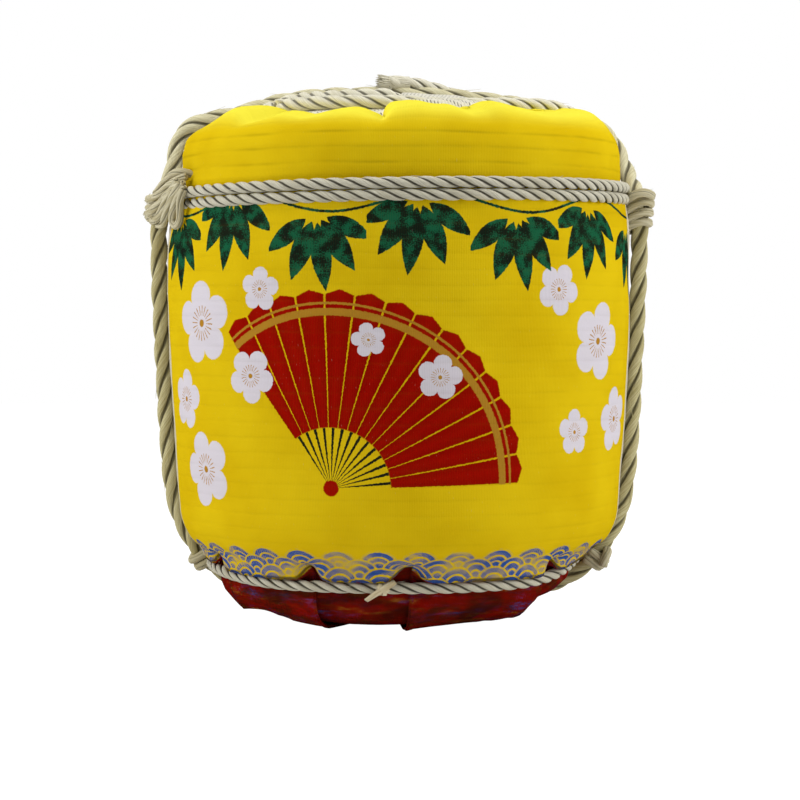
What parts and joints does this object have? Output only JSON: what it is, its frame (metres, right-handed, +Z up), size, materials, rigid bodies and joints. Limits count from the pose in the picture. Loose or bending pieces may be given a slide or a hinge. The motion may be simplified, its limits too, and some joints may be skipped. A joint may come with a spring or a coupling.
{
  "type": "sake barrel",
  "caption": "Straw-wrapped cedar sake cask: coopered cask with a dowelled lid and bung, in a printed woven mat tied with girth ropes and a thick sling rope; cap, lid and bung lift off.",
  "frame": {"origin": "centre of the foot, on the surface the cask stands on", "axes": "+Z up along the cask's axis, -Y towards the printed front, X from side rope to side rope"},
  "size_m": [0.4266, 0.3796, 0.442],
  "materials": {
    "cedar": "planed, unfinished",
    "bamboo": "split and plaited",
    "straw": "loose rice straw",
    "mat_print": "printed woven mat",
    "mat_plain": "plain woven mat",
    "rope_thin": "three-strand laid rope",
    "rope_thick": "three-strand straw rope",
    "twine": "flat twine"
  },
  "bodies": {
    "barrel": {"bottom_board_1": "cedar", "bottom_board_2": "cedar", "bottom_board_3": "cedar", "bottom_board_4": "cedar", "bottom_dowels": "bamboo", "girth_rope_lower": "rope_thin", "girth_rope_upper": "rope_thin", "hitch_lower_left": "rope_thin", "hitch_lower_right": "rope_thin", "hoop_1": "bamboo", "hoop_2": "bamboo", "hoop_3": "bamboo", "hoop_4": "bamboo", "hoop_5": "bamboo", "hoop_6": "bamboo", "knot_upper_left": "rope_thin", "knot_upper_right": "rope_thin", "mat_wrap": "mat_print", "sling_rope": "rope_thick", "stave_01": "cedar", "stave_02": "cedar", "stave_03": "cedar", "stave_04": "cedar", "stave_05": "cedar", "stave_06": "cedar", "stave_07": "cedar", "stave_08": "cedar", "stave_09": "cedar", "stave_10": "cedar", "stave_11": "cedar", "stave_12": "cedar", "stave_13": "cedar", "stave_14": "cedar", "stave_15": "cedar", "stave_16": "cedar", "stave_17": "cedar", "stave_18": "cedar", "straw_bed": "straw", "straw_liner": "straw", "twine_tie": "twine"},
    "lid": {"lid_board_1": "cedar", "lid_board_2": "cedar", "lid_board_3": "cedar", "lid_board_4": "cedar", "lid_dowels": "bamboo"},
    "cap": {"mat_shoulder": "mat_print", "top_mat": "mat_plain", "straw_pad": "straw", "top_rope": "rope_thick", "gather_rope": "rope_thin", "gather_tail": "rope_thin"},
    "bung": {"bung": "cedar"}
  },
  "joints": [
    {"name": "lid_lift", "type": "slide", "parent": "barrel", "child": "lid", "axis": [0, 0, 1], "range_m": [0, 0.15]},
    {"name": "cap_lift", "type": "slide", "parent": "lid", "child": "cap", "axis": [0, 0, 1], "range_m": [0, 0.25]},
    {"name": "bung_pull", "type": "slide", "parent": "lid", "child": "bung", "axis": [0, 0, 1], "range_m": [0, 0.018]}
  ]
}
